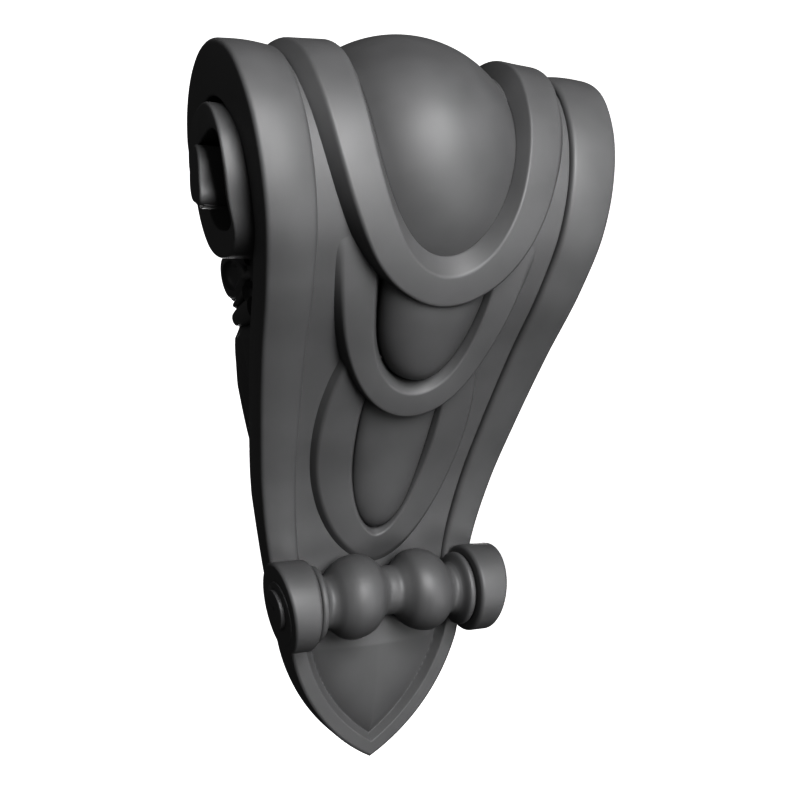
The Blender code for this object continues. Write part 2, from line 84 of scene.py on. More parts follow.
class BracketBody(bpy.types.PropertyGroup):
    """Sizes of the body and its borders."""
    top_y: length("Top centre, out of the wall", "Where the top's round centres, from the wall", -39.2)
    top_z: length("Top centre height", "Height of the centre of the top's round", 96.0)
    top_radius: length("Top radius", "Radius of the bed over the top", 39.6)
    side_recess: length("Side recess", "How far the side fields lie behind the borders' sides", 9.5)
    rim_depth: length("Border depth", "How far a border's side reaches back", 17.6)
    rim_lean: length("Border lean", "How far a border's side leans in on the way back", 0.9)
    rim_crest: length("Border crest", "Height of a border's crest above the bed", 2.8)


class BracketScroll(bpy.types.PropertyGroup):
    """Sizes of the side scrolls."""
    centre_y: length("Scroll centre, out of the wall", "Centre of the scrolls, from the wall", -39.2)
    centre_z: length("Scroll centre height", "Height of the centre of the scrolls", 94.0)
    eye_y: length("Eye, out of the wall", "Centre of the boss in a scroll's middle, from the wall", -36.5)
    eye_z: length("Eye height", "Height of the centre of the boss in a scroll's middle", 90.5)
    eye_radius: length("Eye radius", "Radius of the boss in the middle of a scroll", 10.4)
    eye_face: length("Eye face", "Distance of the boss's face from the centre plane", 84.0)


class BracketFront(bpy.types.PropertyGroup):
    """Sizes of the carving on the front."""
    egg_width: length("Egg half width", "Half of the egg's width", 50.0)
    egg_depth: length("Egg half depth", "Half of the egg's depth", 58.3)
    egg_height: length("Egg height above", "From the egg's widest level to its top", 51.4)
    egg_low: length("Egg height below", "From the egg's widest level to its low end", 58.0)
    roll_end: length("Roll half length", "Half of the roll's length", 47.3)
    roll_radius: length("Roll radius", "Radius of the roll's ends", 18.2)
    pendant_tip: length("Pendant tip", "How far the pendant's tip lies below the origin", 149.9)
    pendant_arc: length("Pendant arc", "Radius of the pendant's sides", 80.0)


class BracketPaint(bpy.types.PropertyGroup):
    """The paint's colour, the painted shade in its recesses, and its finish."""
    colour: FloatVectorProperty(name="Paint colour", description="Colour of the paint on the open faces",
                                default=(0.065, 0.065, 0.066), size=3, min=0.0, max=1.0, subtype="COLOR")
    # Painted shade: the near-black that the paint's colour turns to in recesses and creases, where shade
    # falls
    recess_shade: FloatVectorProperty(name="Recess colour", description="Colour of the paint in the recesses",
                                default=(0.012, 0.012, 0.012), size=3, min=0.0, max=1.0, subtype="COLOR")
    roughness: FloatProperty(name="Roughness", description="Roughness of the satin paint", default=0.55,
                             min=0.0, max=1.0, subtype="FACTOR")
    specular: FloatProperty(name="Specular level", description="Strength of the paint's reflection",
                            default=0.4, min=0.0, max=1.0, subtype="FACTOR")


class BracketStudio(bpy.types.PropertyGroup):
    """The camera and the light."""
    azimuth: FloatProperty(name="Camera azimuth", description="How far left of the front the camera stands",
                           default=math.radians(26.031), subtype="ANGLE", unit="ROTATION")
    pitch: FloatProperty(name="Camera pitch", description="How far the camera looks down",
                         default=math.radians(3.399), subtype="ANGLE", unit="ROTATION")
    distance: length("Camera distance", "From the camera to the point that it looks at", 444.2)
    focal: FloatProperty(name="Focal length", description="Focal length of the camera in millimetres",
                         default=50.0, min=1.0)
    key_power: FloatProperty(name="Key light", description="Power of the main light in watts",
                             default=49.0, min=0.0)
    low_power: FloatProperty(name="Low light", description="Power of the light low on the right in watts",
                             default=10.0, min=0.0)
    right_power: FloatProperty(name="Right light", description="Power of the light from the right in watts",
                               default=1.0, min=0.0)
    left_power: FloatProperty(name="Left light", description="Power of the light from the left in watts",
                              default=2.4, min=0.0)
    back_power: FloatProperty(name="Back light", description="Power of the light from behind in watts",
                              default=16.0, min=0.0)
    ambient: FloatProperty(name="Room light", description="Strength of the light from all round",
                           default=0.10, min=0.0)
    contrast: FloatProperty(name="Contrast", description="Gamma of the view, lower for deeper shadows",
                            default=0.65, min=0.1, max=2.0)


def in_mm(group):
    """The group's values by name, with its lengths in millimetres."""
    values = {}
    for name, prop in group.bl_rna.properties.items():
        if prop.type == "FLOAT":
            value = getattr(group, name)
            values[name] = value / MM if prop.unit == "LENGTH" else value
    return values


def taper(shape, z):
    """Half width at height z: a straight lean less a slight square bow."""
    middle, lean, bow, level = shape
    return middle + lean * (z - level) - bow * (z - level) ** 2


def curve_through(places, knots, where):
    """A smooth curve through knots at their places: a cubic piece between each two knots, whose slopes
    at the knots are those of the line through the neighbours."""
    places, knots = np.asarray(places, float), np.asarray(knots, float)
    knots = knots[:, None] if knots.ndim == 1 else knots
    slope = np.gradient(knots, places, axis=0)
    i = np.clip(np.searchsorted(places, where, side="right") - 1, 0, len(places) - 2)
    gap = (places[i + 1] - places[i])[:, None]
    u = ((where - places[i])[:, None]) / gap
    return ((2 * u ** 3 - 3 * u ** 2 + 1) * knots[i] + (u ** 3 - 2 * u ** 2 + u) * gap * slope[i]
            + (3 * u ** 2 - 2 * u ** 3) * knots[i + 1] + (u ** 3 - u ** 2) * gap * slope[i + 1])


def soften(corners, cuts, steps=6):
    """Rounds the corners of closed outlines, given as (outline, corner, 2). Each corner gives way to a
    parabola that leaves its two sides a cut's length away from it."""
    before = np.roll(corners, 1, axis=1) - corners
    after = np.roll(corners, -1, axis=1) - corners
    reach_before = np.linalg.norm(before, axis=2, keepdims=True)
    reach_after = np.linalg.norm(after, axis=2, keepdims=True)
    cut = np.asarray(cuts, float)[None, :, None]
    start = corners + before / reach_before * np.minimum(cut, 0.49 * reach_before)
    end = corners + after / reach_after * np.minimum(cut, 0.49 * reach_after)
    t = np.linspace(0.0, 1.0, steps)[None, None, :, None]
    arc = ((1 - t) ** 2 * start[:, :, None] + 2 * t * (1 - t) * corners[:, :, None]
           + t ** 2 * end[:, :, None])
    return arc.reshape(len(corners), -1, 2)


def bed_line(body):
    """The bed's front line by its run: one smooth curve through its knots and on through points of the
    top's round, to behind the wall. Its run is zero at the height of the origin."""
    turns = np.radians(TOP_ANGLES)
    over = np.stack([body["top_y"] + body["top_radius"] * np.cos(turns),
                     body["top_z"] + body["top_radius"] * np.sin(turns)], 1)
    knots = np.concatenate([BED_LINE, over])
    chord = np.concatenate([[0.0], np.cumsum(np.hypot(*np.diff(knots, axis=0).T))])
    line = curve_through(chord, knots, np.linspace(0.0, chord[-1], BED_STEPS))
    run = np.concatenate([[0.0], np.cumsum(np.hypot(*np.diff(line, axis=0).T))])
    front = line[:, 0].argmin()
    run -= np.interp(0.0, line[:front, 1], run[:front])
    along = np.gradient(line, run, axis=0)
    return {"run": run, "line": line, "along": along / np.linalg.norm(along, axis=1, keepdims=True)}


def on_bed(bed, x, run, height):
    """Points at x across, at a run along the bed line and a height square to it."""
    y, z = (np.interp(run, bed["run"], bed["line"][:, i]) for i in (0, 1))
    along_y, along_z = (np.interp(run, bed["run"], bed["along"][:, i]) for i in (0, 1))
    size = np.hypot(along_y, along_z)
    return np.stack([x + 0 * y, y - height * along_z / size, z + height * along_y / size], -1)


def grid_faces(rows, columns, start=0):
    """Four-sided faces between neighbouring rows of a grid whose columns close on themselves."""
    i, j = np.meshgrid(np.arange(rows - 1), np.arange(columns), indexing="ij")
    k = (j + 1) % columns
    faces = np.stack([i * columns + j, i * columns + k, (i + 1) * columns + k, (i + 1) * columns + j], -1)
    return faces.reshape(-1, 4) + start


def lay_mesh(name, grids):
    """A mesh from closed grids, each (rows, columns, 3) with its two end rows capped. Doubles are
    welded, faces turned out, and what lies behind the wall face is cut off and closed flat."""
    points = np.concatenate([grid.reshape(-1, 3) for grid in grids])
    faces, start = [], 0
    for grid in grids:
        rows, columns = grid.shape[:2]
        faces += grid_faces(rows, columns, start).tolist()
        faces.append(list(range(start, start + columns)))
        faces.append(list(range(start + (rows - 1) * columns, start + rows * columns)))
        start += rows * columns
    mesh = bpy.data.meshes.new(name)
    mesh.from_pydata((points * MM).tolist(), [], faces)
    shape = bmesh.new()
    shape.from_mesh(mesh)
    bmesh.ops.remove_doubles(shape, verts=shape.verts, dist=WELD)
    bmesh.ops.dissolve_degenerate(shape, edges=shape.edges, dist=WELD)
    bmesh.ops.recalc_face_normals(shape, faces=shape.faces)
    if points[:, 1].max() > WALL_TOUCH:
        cut_at_wall(shape, WALL_GAPS.get(name.split("_")[0], 0.0))
    shape.to_mesh(mesh)
    shape.free()
    mesh.shade_smooth()
    mesh.set_sharp_from_angle(angle=SHARP_ANGLE)
    piece = bpy.data.objects.new(name, mesh)
    bpy.context.scene.collection.objects.link(piece)
    return piece


def cut_at_wall(shape, gap):
    """Takes away what lies behind a plane at a gap from the wall face and closes the cut."""
    every = shape.verts[:] + shape.edges[:] + shape.faces[:]
    bmesh.ops.bisect_plane(shape, geom=every, dist=WELD, plane_co=(0.0, -gap * MM, 0.0),
                           plane_no=(0.0, 1.0, 0.0), clear_outer=True)
    open_edges = [edge for edge in shape.edges if edge.is_boundary]
    bmesh.ops.contextual_create(shape, geom=open_edges)
    bmesh.ops.triangulate(shape, faces=[face for face in shape.faces if len(face.verts) > 4])


def swell(spread, nose, rise):
    """Half width of a U at a rise above its lowest place: a round nose that runs into nearly straight
    arms, as the root of one less an exponential."""
    return spread * np.sqrt(1.0 - np.exp(-2.0 * nose * np.maximum(rise, 0.0) / spread ** 2))


def mound(y, z, centre, axes):
    """A rounded swelling on a flat field: one in its middle, down to zero on its oval edge, as half of
    an ellipsoid."""
    far = ((y - centre[0]) / axes[0]) ** 2 + ((z - centre[1]) / axes[1]) ** 2
    return np.sqrt(np.clip(1.0 - far, 0.0, 1.0))


# The side leaf, as places (y, z) on the side field. Ridges run from root to point, with half width and
# height: the top edge, the front rib, two folds and the turned-over tip.
RIDGES = [((-44.0, 61.5), (8.0, 61.0), 3.0, 2.6), ((-37.0, 68.0), (-33.0, 33.0), 7.5, 4.0),
          ((-20.0, 54.0), (2.0, 45.6), 2.0, 3.0), ((-22.0, 50.0), (3.0, 42.8), 1.7, 2.6),
          ((-34.0, 43.5), (7.0, 37.0), 4.8, 4.2)]
# The cup and the eyelet, each a mound and then the hollow in it: middle, half axes and height
CUP = [((-5.0, 55.0), (17.0, 9.0), 4.6), ((-10.5, 55.3), (8.4, 5.8), -4.2)]
EYELET = [((-25.5, 48.0), (4.4, 4.6), 4.8), ((-25.5, 47.6), (2.1, 3.0), -4.4)]
# Tongues that overlap below the tip: middle across, half width, depth below their top and the height of
# their edge
TONGUES = [(-20.0, 13.0, 22.5, 0.8), (-15.5, 15.5, 36.0, 0.7), (-14.0, 24.0, 66.0, 0.4)]
TONGUE_TOP = 35.5
# How far the sheet of tongues flares out to the wall and within what distance of it, and middle, half width
# and height of its arch
SHEET_FLARE = (5.6, 15.0)
SHEET_ARCH = (-20.0, 17.0, 3.2)


def ridge(y, z, root, point, half, stand):
    """One ridge: its height falls off from the middle line to the edge as a half ellipse, and its width
    closes towards the point as a pointed arch."""
    root, point = np.array(root), np.array(point)
    axis = point - root
    size = np.linalg.norm(axis)
    axis = axis / size
    along = ((y - root[0]) * axis[0] + (z - root[1]) * axis[1]) / size
    across = (y - root[0]) * axis[1] - (z - root[1]) * axis[0]
    width = half * np.sqrt(np.clip(1.0 - np.clip(along, 0.0, 1.0) ** 2.4, 0.0, 1.0))
    inside = np.sqrt(np.clip(1.0 - (across / np.maximum(width, 0.01)) ** 2, 0.0, 1.0))
    rise = np.clip(along * 6.0 + 1.2, 0.0, 1.0) * np.sqrt(np.clip(1.0 - along, 0.0, 1.0)) ** 0.5
    return stand * inside ** 0.7 * rise * ((along > -0.2) & (along < 1.0))


def tongue(y, z, middle, half, depth):
    """One tongue of the leaf: one inside a long oval outline and zero outside, with a steep rounded edge."""
    far = (np.abs(y - middle) / half) ** 2.2 + (np.clip(TONGUE_TOP - z, 0.0, None) / depth) ** 3.0
    return np.clip(1.0 - far, 0.0, 1.0) ** 0.25


def leaf_relief(y, z):
    """Height of the carved leaf over the side field. The highest of the cup, the eyelet, the ridges and
    the sheet of tongues shows, and hollows are taken out of the cup and the eyelet. The sheet arches
    behind the border and flares out towards the wall."""
    hollowed = [sum(stand * mound(y, z, centre, axes) ** 0.65 for centre, axes, stand in shape)
                for shape in (CUP, EYELET)]
    fall = np.clip(TONGUE_TOP - z, 0.0, None)
    reach, near = SHEET_FLARE
    flare = reach * np.sqrt(np.clip(fall / 24.0, 0.0, 1.0)) * np.clip((y + near) / near, 0.0, 1.0) ** 1.3
    arch = SHEET_ARCH[2] * mound(y, z, (SHEET_ARCH[0], 0.0), (SHEET_ARCH[1], np.inf))
    lines = sum(edge * tongue(y, z, *plan) for *plan, edge in TONGUES)
    sheet = (flare + arch + lines) * tongue(y, z, *TONGUES[-1][:3]) * np.clip(fall / 5.0, 0.0, 1.0) ** 0.7
    return np.max([ridge(y, z, *shape) for shape in RIDGES] + hollowed + [sheet, 0.0 * y], axis=0)


def leaf_grid(bed, body, side):
    """A side leaf: level sections of its relief over the side field, from behind the border to the wall,
    with a back inside the body."""
    z = np.linspace(-34.0, 66.0, 300)[:, None]
    front = np.interp(z, bed["line"][:90, 1], bed["line"][:90, 0]) + 6.0
    y = front + (1.5 - front) * np.linspace(0.0, 1.0, 130)
    level = z + 0 * y
    field = taper(OUTER_TAPER, level) - body["side_recess"]
    open_side = np.stack([side * (field + leaf_relief(y, level) - 0.25), y, level], -1)
    inside = np.stack([side * (field - 3.0), y, level], -1)[:, ::-1]
    return np.concatenate([open_side, inside], axis=1)


def body_grid(bed, body):
    """The body as closed level sections: the bed from side to side, a side field back to the wall or to
    the back of the top, the wall, and the other side field."""
    apex = int(np.argmax(bed["line"][:, 1]))
    rows = np.concatenate([np.linspace(bed["run"][0], 145.0, 300), np.linspace(145.5, bed["run"][apex], 40)])
    front, z = (np.interp(rows, bed["run"], bed["line"][:, i])[:, None] for i in (0, 1))
    over = np.clip(body["top_radius"] ** 2 - (z - body["top_z"]) ** 2, 0.0, None)
    back = np.where(z > body["top_z"], np.minimum(body["top_y"] + np.sqrt(over), 0.0), 0.0)
    back = np.maximum(back, front)
    field = taper(OUTER_TAPER, z) - body["side_recess"]
    across, deep = np.linspace(-1.0, 1.0, 25), np.linspace(0.0, 1.0, 21)[1:-1]
    x = np.concatenate([across * field, field + 0 * deep, -across * field, -field + 0 * deep], axis=1)
    y = np.concatenate([front + 0 * across, front + (back - front) * deep, back + 0 * across,
                        back + (front - back) * deep], axis=1)
    return np.stack([x, y, z + 0 * x], -1)


def rim_grid(bed, body, side):
    """A border: its crowned profile, a thin band deep at the side that leans in on the way back, carried
    up the bed line and over the top. Crown and corners are soft parabolas."""
    run = bed["run"]
    level = bed["line"][:, 1]
    inner, outer = taper(INNER_TAPER, level), taper(OUTER_TAPER, level)
    crest, flat = body["rim_crest"], 0 * run
    corners = np.stack([
        np.stack([inner, flat - 4.0], -1),
        np.stack([inner, flat + crest - 0.9], -1),
        np.stack([(inner + outer) / 2, flat + crest + 0.35], -1),
        np.stack([outer + 0.4, flat + crest - 0.4], -1),
        np.stack([outer - body["rim_lean"], flat - body["rim_depth"]], -1),
        np.stack([outer - body["side_recess"] - 3.0, flat - body["rim_depth"]], -1)], axis=1)
    profile = soften(corners, [0.5, 2.2, 6.0, 2.0, 0.9, 0.5])
    return on_bed(bed, side * profile[..., 0], run[:, None] + 0 * profile[..., 0], profile[..., 1])


# The scroll by quarter turns from the back of its first turn: the turn, its radius, the distance of its
# face from the centre plane and the thickness of its band as a share of the radius
SCROLL_LINE = [(-0.2, 38.6, 74.1, 0.30), (0.0, 38.4, 73.0, 0.30), (0.5, 36.5, 71.8, 0.30),
               (1.0, 34.0, 72.6, 0.30), (1.2, 34.8, 73.2, 0.28), (1.37, 33.6, 74.4, 0.22),
               (1.6, 28.6, 77.8, 0.13), (1.9, 25.2, 79.9, 0.10), (2.25, 23.9, 81.2, 0.12),
               (2.6, 22.6, 81.4, 0.50), (3.0, 21.4, 80.9, 0.63), (3.5, 21.2, 80.6, 0.62),
               (3.9, 19.4, 80.2, 0.60), (4.2, 17.4, 80.0, 0.58), (4.7, 16.2, 80.2, 0.55),
               (5.0, 16.4, 81.4, 0.55), (5.3, 18.0, 82.6, 0.50)]
SCROLL_STEPS = 220
# How far the scroll's hidden side lies inside the body's side
SCROLL_ROOT = 13.0


def scroll_grid(scroll, side):
    """A side scroll: a flat band on a shrinking spiral. Its radius, its face and its thickness run
    smoothly through their values along the turns."""
    line = np.array(SCROLL_LINE)
    turns = np.linspace(line[0, 0], line[-1, 0], SCROLL_STEPS)
    radius, face, share = curve_through(line[:, 0], line[:, 1:], turns).T
    inner = radius * (1.0 - share)
    angle = -turns * math.pi / 2
    floor = taper(OUTER_TAPER, scroll["centre_z"] + radius * np.sin(angle)) - SCROLL_ROOT
    corners = np.stack([np.stack([floor, radius], -1), np.stack([face, radius], -1),
                        np.stack([face, inner], -1), np.stack([floor, inner], -1)], axis=1)
    profile = soften(corners, [0.4, 1.3, 1.1, 0.4])
    angle = angle[:, None]
    return np.stack([side * profile[..., 0], scroll["centre_y"] + profile[..., 1] * np.cos(angle),
                     scroll["centre_z"] + profile[..., 1] * np.sin(angle)], -1)


# The heel of a scroll's boss: its reach, where it lies round the boss and its spread, both in degrees
EYE_HEEL = (6.0, 135.0, 24.0)
EYE_EDGE = 1.1
EYE_LEAN = 0.12


def turned_grid(places, radii, centre, around=72, lean=0.0, bow=0.0):
    """A turned shape about a line along X: a circle at each place, its radius from the profile. lean
    moves each point along X by its height above the axis, and bow lifts the axis itself."""
    angle = np.linspace(0.0, 2 * math.pi, around, endpoint=False)
    radii, places = np.asarray(radii, float)[:, None], np.asarray(places, float)[:, None]
    lean, bow = (np.asarray(value, float).reshape(-1, 1) for value in (lean, bow))
    lift = radii * np.sin(angle)
    return np.stack([places + lean * lift, centre[0] + radii * np.cos(angle), centre[1] + bow + lift], -1)


def eye_grid(scroll, side):
    """The boss in the middle of the scroll: a round plug with a heel at its low front, where the radius
    swells as a bell curve of the angle. Its edge is a quarter round and its face leans to the wall."""
    angle = np.linspace(-math.pi, math.pi, 96, endpoint=False)[None, :]
    heel = EYE_HEEL[0] * np.exp(-((angle + math.radians(EYE_HEEL[1])) / math.radians(EYE_HEEL[2])) ** 2)
    t = np.linspace(0.0, math.pi / 2, 10)
    inset = np.concatenate([[0.0], EYE_EDGE * (1.0 - np.cos(t)), [3.0]])[:, None]
    radius = (scroll["eye_radius"] + heel - inset) * np.append(np.ones(11), 0.0)[:, None]
    down = np.concatenate([[30.0], EYE_EDGE * (1.0 - np.sin(t)), [0.0]])[:, None]
    y = scroll["eye_y"] + radius * np.cos(angle)
    z = scroll["eye_z"] + radius * np.sin(angle)
    x = scroll["eye_face"] - EYE_LEAN * (y - scroll["eye_y"] + scroll["eye_radius"]) - down
    return np.stack([side * x, y, z], -1)


# Each loop: lowest place along the bed, how far it runs, spread and nose radius of its outside, lowest
# place, spread and nose radius of its inside, the width and depth of its inner bevel, and the width of
# its outer one at the nose and at the arms' ends
LOOPS = {
    "upper": (56.8, 226.0, (56.0, 32.0), 68.0, (38.5, 20.0), (5.0, 5.0), (2.4, 7.4)),
    "middle": (5.0, 88.0, (45.0, 22.0), 15.8, (26.5, 15.5), (3.5, 3.5), (2.2, 2.6)),
    "lower": (-66.8, 30.0, (32.5, 62.0), -56.2, (18.1, 54.2), (3.5, 3.0), (2.4, 2.4)),
}
# Stations from a loop's nose to the end of one arm
LOOP_STEPS = 90


def loop_height(name, run):
    """How high a loop's front stands above the bed along its run: the upper one falls away from its nose
    as an exponential, the middle one in a straight line, and the lower one is nearly even."""
    past = run - LOOPS[name][0]
    if name == "upper":
        return 3.2 + 9.0 * np.exp(-past / 34.0) + 1.8 * np.clip((past - 48.2) / 35.0, 0.0, 1.0)
    if name == "middle":
        return np.maximum(10.4 - 0.145 * past, -2.0)
    return 3.0 - 2.0 * np.exp(-past / 8.0)


def loop_line(name, shape, rise):
    """Half width of a loop's line at a rise: a U for the two upper loops, a pointed oval for the lower."""
    if name == "lower":
        return shape[0] * np.clip(1.0 - ((shape[1] - rise) / shape[1]) ** 2, 0.0, None) ** 0.56
    return swell(*shape, rise)


def loop_grid(bed, name):
    """A loop: a flat band with a bevel on its inside, carried from one arm round the nose to the other.
    At each station its profile lies between a point of the outer line and one of the inner line."""
    low, high, outside, low_in, inside, (wide, deep), (nose_flare, end_flare) = LOOPS[name]
    part = np.linspace(0.0, 1.0, LOOP_STEPS) ** 1.9
    rise, rise_in = part * (high - low), part * (high - low_in)
    outer_x = loop_line(name, outside, rise)
    inner_x = loop_line(name, inside, rise_in)
    sign = np.concatenate([-np.ones(LOOP_STEPS - 1), np.ones(LOOP_STEPS)])
    pick = np.concatenate([np.arange(LOOP_STEPS - 1, 0, -1), np.arange(LOOP_STEPS)])
    outer_run, inner_run = (low + rise)[pick], (low_in + rise_in)[pick]
    outer_x, inner_x = outer_x[pick], inner_x[pick]
    flare = (nose_flare + (end_flare - nose_flare) * part)[pick]
    gap = np.hypot(inner_x - outer_x, inner_run - outer_run)
    base, top = loop_height(name, outer_run), loop_height(name, inner_run) + 1.0
    flat = 0 * gap
    corners = np.stack([
        np.stack([flat - flare, flat - 6.0], -1), np.stack([flat - flare, flat - 0.3], -1),
        np.stack([flat, base], -1), np.stack([gap, top], -1),
        np.stack([gap + wide, top - deep - 2.0], -1), np.stack([gap + wide, flat - 7.0], -1)], axis=1)
    profile = soften(corners, [0.5, 0.3, 1.2, 0.9, 0.8, 0.5])
    step_x, step_run = ((inner_x - outer_x) / gap)[:, None], ((inner_run - outer_run) / gap)[:, None]
    x = outer_x[:, None] + step_x * profile[..., 0]
    run = outer_run[:, None] + step_run * profile[..., 0]
    return on_bed(bed, sign[:, None] * x, run, profile[..., 1])


# The middle of the egg, as (y, z)
EGG_CENTRE = (-30.5, 97.8)


def egg_grid(front):
    """The egg: an ellipsoid by latitude and longitude about its upright axis, longer below than above."""
    up = np.linspace(-math.pi / 2, math.pi / 2, 121)[:, None]
    around = np.linspace(0.0, 2 * math.pi, 180, endpoint=False)[None, :]
    x = front["egg_width"] * np.cos(up) * np.sin(around)
    y = EGG_CENTRE[0] - front["egg_depth"] * np.cos(up) * np.cos(around)
    z = EGG_CENTRE[1] + np.where(up > 0, front["egg_height"], front["egg_low"]) * np.sin(up) + 0 * x
    return np.stack([x, y, z], -1)


# Each drop: lowest and highest place along the bed, spread and nose radius, height, how soon it is
# reached, and the loop that covers its upper end
DROPS = {
    "middle": (19.6, 62.0, (24.0, 14.0), 12.6, 7.0, "upper"),
    "lower": (-53.0, 10.0, (17.5, 7.5), 6.8, 14.0, "middle"),
}


def drop_grid(bed, name):
    """A drop: arched sections whose half width swells like the loop round it and whose height rises
    quickly to its crown. The upper end bends to stay under the loop above."""
    low, high, outline, height, reach, under = DROPS[name]
    part = (np.linspace(0.02, 1.0, 110) ** 1.8)[:, None]
    rise = part * (high - low)
    half = swell(*outline, rise)
    crown = height * np.sqrt(1.0 - np.exp(-2.0 * rise / reach)) * (1.0 - 0.22 * part ** 2)
    angle = np.linspace(0.0, math.pi, 70)[None, :]
    x, top = half * np.cos(angle), crown * np.sin(angle) ** 0.8
    x = np.concatenate([half, x, -half], axis=1)
    top = np.concatenate([-5.0 + 0 * half, top, -5.0 + 0 * half], axis=1)
    spread, nose = LOOPS[under][2]
    follow = -np.log(1.0 - np.minimum(np.abs(x) / spread, 0.95) ** 2) * spread ** 2 / (2.0 * nose)
    return on_bed(bed, x, low + rise + part ** 3 * follow, top)


ROLL_AXIS = (-25.6, -76.2)
# Half of the roll from its middle outwards, as (x, radius), up to the drum
ROLL_LINE = [(0.0, 10.1), (3.0, 10.3), (5.0, 11.9), (8.0, 14.9), (11.5, 16.5), (15.3, 17.0), (19.2, 16.4),
             (23.2, 14.0), (26.0, 11.2), (28.2, 10.4), (30.0, 11.4)]
ROLL_RING = [(30.6, 13.0), (31.4, 14.6), (32.8, 15.3), (34.2, 14.7), (35.0, 13.6)]
ROLL_LEAN = 0.15
ROLL_BOW = 2.6


def roll_grid(front):
    """The turned roll: a neck, two balls, a ring and a drum at each end. Its half profile is mirrored,
    the ends lean with the sides and the middle bows up a little."""
    end, radius = front["roll_end"], front["roll_radius"]
    x, r = np.array(ROLL_LINE).T
    fine = np.linspace(0.0, x[-1], 90)
    balls = np.stack([fine, curve_through(x, r, fine)[:, 0]], -1)
    x, r = np.array(ROLL_RING).T
    fine = np.linspace(x[0], x[-1], 20)
    ring = np.stack([fine, curve_through(x, r, fine)[:, 0]], -1)
    t = np.linspace(0.0, math.pi / 2, 8)
    shoulder = np.stack([35.2 + 1.8 * (1 - np.cos(t)), radius - 1.9 + 1.9 * np.sin(t)], -1)
    edge = np.stack([end - 1.4 + 1.4 * np.sin(t), radius - 1.4 + 1.4 * np.cos(t)], -1)
    half = np.concatenate([balls, ring, [[35.1, 13.8]], shoulder, edge, [[end, radius * 0.5]]])
    line = np.concatenate([half[:0:-1] * (-1, 1), half])
    lean = np.sign(line[:, 0]) * ROLL_LEAN * np.clip((np.abs(line[:, 0]) - 40.0) / (end - 40.0), 0.0, 1.0)
    bow = ROLL_BOW * np.exp(-(line[:, 0] / 19.5) ** 2)
    return turned_grid(line[:, 0], line[:, 1], ROLL_AXIS, 96, lean, bow)


# A curl's length and where its winding slows down, in quarter turns, and its boss's height
CURL_TURNS = 7.6
CURL_SLOWS = 4.0
CURL_BOSS = 1.2


def roll_curl_grid(front, side):
    """The small scroll on a roll's end: a step that winds in from the edge on a shrinking spiral and then
    rises to a boss in the middle."""
    turns = np.linspace(0.0, CURL_TURNS, 180)
    wound = np.minimum(turns, CURL_SLOWS)
    radius = front["roll_radius"] - 0.4 - 2.3 * wound - 0.3 * np.clip(turns - CURL_SLOWS, 0.0, None)
    face = front["roll_end"] - 0.2 + 0.3 * wound + CURL_BOSS * np.clip((turns - 3.2) / 0.8, 0.0, 1.0)
    inner = 0.6 + 0 * turns
    root = front["roll_end"] - 4.0 + 0 * turns
    angle = -turns * math.pi / 2
    corners = np.stack([np.stack([root, radius], -1), np.stack([face, radius], -1),
                        np.stack([face, inner], -1), np.stack([root, inner], -1)], axis=1)
    profile = soften(corners, [0.3, 0.6, 0.5, 0.3], 5)
    lift = profile[..., 1] * np.sin(angle)[:, None]
    y = ROLL_AXIS[0] + profile[..., 1] * np.cos(angle)[:, None]
    return np.stack([side * (profile[..., 0] + ROLL_LEAN * lift), y, ROLL_AXIS[1] + lift], -1)


PENDANT_TOP = -72.0
PENDANT_SPRING = -98.5


def pendant_half(z, front):
    """Half width of the pendant: the body's taper, then one arc to the tip."""
    tip = -front["pendant_tip"]
    start = taper(OUTER_TAPER, PENDANT_SPRING)
    height = PENDANT_SPRING - tip
    chord = math.hypot(start, height)
    reach = math.sqrt(front["pendant_arc"] ** 2 - (chord / 2) ** 2)
    centre_x = start / 2 - reach * height / chord
    centre_z = (PENDANT_SPRING + tip) / 2 + reach * start / chord
    arc = centre_x + np.sqrt(front["pendant_arc"] ** 2 - (z - centre_z) ** 2)
    return np.where(z >= PENDANT_SPRING, taper(OUTER_TAPER, z), np.maximum(arc, 0.0))


def pendant_grid(front):
    """The pendant: level sections. Its face depends on the distance from its outline: a rounded edge, a
    flat border, a bevel down and a pillow that rises towards the middle."""
    tip = -front["pendant_tip"]
    z = tip + (PENDANT_TOP - tip) * np.linspace(0.0, 1.0, 200) ** 1.3
    half = pendant_half(z, front)
    slope = np.gradient(half, z)
    square = 1.0 / np.sqrt(1.0 + slope ** 2)
    across = np.sin(np.linspace(-math.pi / 2, math.pi / 2, 161))
    inward = half[:, None] * (1.0 - np.abs(across)) * square[:, None]
    base = -9.2 - 7.0 * np.minimum((z - tip) / (PENDANT_SPRING - tip), 1.0)
    edge = 1.4 * (1.0 - np.sqrt(np.clip(1.0 - (1.0 - np.minimum(inward / 1.4, 1.0)) ** 2, 0.0, 1.0)))
    bevel = 3.4 * np.clip((inward - 6.4) / 3.0, 0.0, 1.0)
    pillow = 4.6 * (1.0 - np.exp(-np.clip(inward - 9.4, 0.0, None) / 8.0))
    y = base[:, None] + edge + bevel - pillow
    x = across * half[:, None]
    level = z[:, None] + 0 * x
    face = np.stack([x, y, level], -1)
    wall = np.stack([x[:, ::-1], 0 * y - WALL_GAPS["pendant"], level], -1)
    return np.concatenate([face, wall], axis=1)


